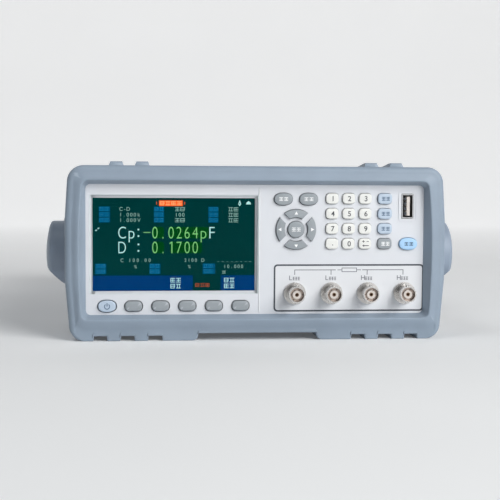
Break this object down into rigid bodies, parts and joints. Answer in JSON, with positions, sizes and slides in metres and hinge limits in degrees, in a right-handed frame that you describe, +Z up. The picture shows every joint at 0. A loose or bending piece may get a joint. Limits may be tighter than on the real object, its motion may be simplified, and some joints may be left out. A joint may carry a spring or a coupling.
{
  "type": "lcr meter",
  "caption": "Bench LCR meter with a colour screen, push keys, coaxial test terminals and a memory port, in a metal case with rubber bumpers and a swinging carry handle.",
  "frame": {"origin": "centre of the object's box in X and Y with the handle folded, on the plane of the feet", "axes": "-Y is out of the front panel, +X to the right of someone facing it, +Z up"},
  "size_m": [0.251, 0.3454, 0.1044],
  "materials": {
    "bumper_rubber": "satin moulded rubber",
    "cover_paint": "fine texture powder coat",
    "zinc_sheet": "zinc-plated sheet",
    "panel_plastic": "fine spark texture",
    "window_glass": "clear hard-coated window",
    "lcd_glass": "dark display glass in a tin frame",
    "green_board": "solder mask",
    "brown_board": "bare laminate",
    "black_plastic": "moulded",
    "nickel": "nickel plate",
    "white_plastic": "smooth",
    "gold_contact": "gold plate",
    "tin_plate": "bright tin plate",
    "winding_tape": "wrapped tape",
    "brass_post": "bright",
    "screw_steel": "zinc plate",
    "handle_plastic": "fine texture",
    "grip_rubber": "soft overmould",
    "key_blue": "satin silicone",
    "key_sky": "satin silicone",
    "key_white": "satin silicone",
    "key_grey": "satin silicone"
  },
  "bodies": {
    "case": {"front_bumper": "bumper_rubber", "rear_bumper": "bumper_rubber", "top_cover": "cover_paint", "chassis_tray": "zinc_sheet", "front_panel": "panel_plastic", "screen_window": "window_glass", "lcd_module": "lcd_glass", "key_board": "green_board", "key_switches": "black_plastic", "bnc_shells": "nickel", "bnc_nuts": "nickel", "bnc_insulators": "white_plastic", "bnc_contacts": "gold_contact", "usb_shell": "nickel", "usb_tongue": "white_plastic", "main_board": "green_board", "shield_can": "tin_plate", "psu_board": "brown_board", "psu_transformer": "winding_tape", "standoffs": "brass_post", "rear_panel": "zinc_sheet", "inlet_body": "black_plastic", "inlet_pins": "nickel", "serial_port": "nickel", "handler_port": "nickel", "handle_pivots": "zinc_sheet", "case_screws": "screw_steel"},
    "handle": {"handle_arm_left": "handle_plastic", "handle_arm_right": "handle_plastic", "handle_grip": "grip_rubber"},
    "key_power_body": {"key_power": "key_blue"},
    "key_soft_1_body": {"key_soft_1": "key_grey"},
    "key_soft_2_body": {"key_soft_2": "key_grey"},
    "key_soft_3_body": {"key_soft_3": "key_grey"},
    "key_soft_4_body": {"key_soft_4": "key_grey"},
    "key_soft_5_body": {"key_soft_5": "key_grey"},
    "key_oval_left_body": {"key_oval_left": "key_grey"},
    "key_oval_right_body": {"key_oval_right": "key_grey"},
    "key_up_body": {"key_up": "key_grey"},
    "key_right_body": {"key_right": "key_grey"},
    "key_down_body": {"key_down": "key_grey"},
    "key_left_body": {"key_left": "key_grey"},
    "key_enter_body": {"key_enter": "key_grey"},
    "key_1_body": {"key_1": "key_white"},
    "key_2_body": {"key_2": "key_white"},
    "key_3_body": {"key_3": "key_white"},
    "key_4_body": {"key_4": "key_white"},
    "key_5_body": {"key_5": "key_white"},
    "key_6_body": {"key_6": "key_white"},
    "key_7_body": {"key_7": "key_white"},
    "key_8_body": {"key_8": "key_white"},
    "key_9_body": {"key_9": "key_white"},
    "key_dot_body": {"key_dot": "key_white"},
    "key_0_body": {"key_0": "key_white"},
    "key_sign_body": {"key_sign": "key_white"},
    "key_side_1_body": {"key_side_1": "key_blue"},
    "key_side_2_body": {"key_side_2": "key_blue"},
    "key_side_3_body": {"key_side_3": "key_blue"},
    "key_side_4_body": {"key_side_4": "key_grey"},
    "key_trigger_body": {"key_trigger": "key_sky"}
  },
  "joints": [
    {"name": "handle_swing", "type": "hinge", "parent": "case", "child": "handle", "pos_m": [0, -0.1243, 0.0494], "axis": [1, 0, 0], "range_deg": [0, 245]},
    {"name": "key_power_press", "type": "slide", "parent": "case", "child": "key_power_body", "axis": [0, 1, 0], "range_m": [0, 0.001], "stiffness_N_per_m": 1000},
    {"name": "key_soft_1_press", "type": "slide", "parent": "case", "child": "key_soft_1_body", "axis": [0, 1, 0], "range_m": [0, 0.001], "stiffness_N_per_m": 1000},
    {"name": "key_soft_2_press", "type": "slide", "parent": "case", "child": "key_soft_2_body", "axis": [0, 1, 0], "range_m": [0, 0.001], "stiffness_N_per_m": 1000},
    {"name": "key_soft_3_press", "type": "slide", "parent": "case", "child": "key_soft_3_body", "axis": [0, 1, 0], "range_m": [0, 0.001], "stiffness_N_per_m": 1000},
    {"name": "key_soft_4_press", "type": "slide", "parent": "case", "child": "key_soft_4_body", "axis": [0, 1, 0], "range_m": [0, 0.001], "stiffness_N_per_m": 1000},
    {"name": "key_soft_5_press", "type": "slide", "parent": "case", "child": "key_soft_5_body", "axis": [0, 1, 0], "range_m": [0, 0.001], "stiffness_N_per_m": 1000},
    {"name": "key_oval_left_press", "type": "slide", "parent": "case", "child": "key_oval_left_body", "axis": [0, 1, 0], "range_m": [0, 0.001], "stiffness_N_per_m": 1000},
    {"name": "key_oval_right_press", "type": "slide", "parent": "case", "child": "key_oval_right_body", "axis": [0, 1, 0], "range_m": [0, 0.001], "stiffness_N_per_m": 1000},
    {"name": "key_up_press", "type": "slide", "parent": "case", "child": "key_up_body", "axis": [0, 1, 0], "range_m": [0, 0.001], "stiffness_N_per_m": 1000},
    {"name": "key_right_press", "type": "slide", "parent": "case", "child": "key_right_body", "axis": [0, 1, 0], "range_m": [0, 0.001], "stiffness_N_per_m": 1000},
    {"name": "key_down_press", "type": "slide", "parent": "case", "child": "key_down_body", "axis": [0, 1, 0], "range_m": [0, 0.001], "stiffness_N_per_m": 1000},
    {"name": "key_left_press", "type": "slide", "parent": "case", "child": "key_left_body", "axis": [0, 1, 0], "range_m": [0, 0.001], "stiffness_N_per_m": 1000},
    {"name": "key_enter_press", "type": "slide", "parent": "case", "child": "key_enter_body", "axis": [0, 1, 0], "range_m": [0, 0.001], "stiffness_N_per_m": 1000},
    {"name": "key_1_press", "type": "slide", "parent": "case", "child": "key_1_body", "axis": [0, 1, 0], "range_m": [0, 0.001], "stiffness_N_per_m": 1000},
    {"name": "key_2_press", "type": "slide", "parent": "case", "child": "key_2_body", "axis": [0, 1, 0], "range_m": [0, 0.001], "stiffness_N_per_m": 1000},
    {"name": "key_3_press", "type": "slide", "parent": "case", "child": "key_3_body", "axis": [0, 1, 0], "range_m": [0, 0.001], "stiffness_N_per_m": 1000},
    {"name": "key_4_press", "type": "slide", "parent": "case", "child": "key_4_body", "axis": [0, 1, 0], "range_m": [0, 0.001], "stiffness_N_per_m": 1000},
    {"name": "key_5_press", "type": "slide", "parent": "case", "child": "key_5_body", "axis": [0, 1, 0], "range_m": [0, 0.001], "stiffness_N_per_m": 1000},
    {"name": "key_6_press", "type": "slide", "parent": "case", "child": "key_6_body", "axis": [0, 1, 0], "range_m": [0, 0.001], "stiffness_N_per_m": 1000},
    {"name": "key_7_press", "type": "slide", "parent": "case", "child": "key_7_body", "axis": [0, 1, 0], "range_m": [0, 0.001], "stiffness_N_per_m": 1000},
    {"name": "key_8_press", "type": "slide", "parent": "case", "child": "key_8_body", "axis": [0, 1, 0], "range_m": [0, 0.001], "stiffness_N_per_m": 1000},
    {"name": "key_9_press", "type": "slide", "parent": "case", "child": "key_9_body", "axis": [0, 1, 0], "range_m": [0, 0.001], "stiffness_N_per_m": 1000},
    {"name": "key_dot_press", "type": "slide", "parent": "case", "child": "key_dot_body", "axis": [0, 1, 0], "range_m": [0, 0.001], "stiffness_N_per_m": 1000},
    {"name": "key_0_press", "type": "slide", "parent": "case", "child": "key_0_body", "axis": [0, 1, 0], "range_m": [0, 0.001], "stiffness_N_per_m": 1000},
    {"name": "key_sign_press", "type": "slide", "parent": "case", "child": "key_sign_body", "axis": [0, 1, 0], "range_m": [0, 0.001], "stiffness_N_per_m": 1000},
    {"name": "key_side_1_press", "type": "slide", "parent": "case", "child": "key_side_1_body", "axis": [0, 1, 0], "range_m": [0, 0.001], "stiffness_N_per_m": 1000},
    {"name": "key_side_2_press", "type": "slide", "parent": "case", "child": "key_side_2_body", "axis": [0, 1, 0], "range_m": [0, 0.001], "stiffness_N_per_m": 1000},
    {"name": "key_side_3_press", "type": "slide", "parent": "case", "child": "key_side_3_body", "axis": [0, 1, 0], "range_m": [0, 0.001], "stiffness_N_per_m": 1000},
    {"name": "key_side_4_press", "type": "slide", "parent": "case", "child": "key_side_4_body", "axis": [0, 1, 0], "range_m": [0, 0.001], "stiffness_N_per_m": 1000},
    {"name": "key_trigger_press", "type": "slide", "parent": "case", "child": "key_trigger_body", "axis": [0, 1, 0], "range_m": [0, 0.001], "stiffness_N_per_m": 1000}
  ]
}
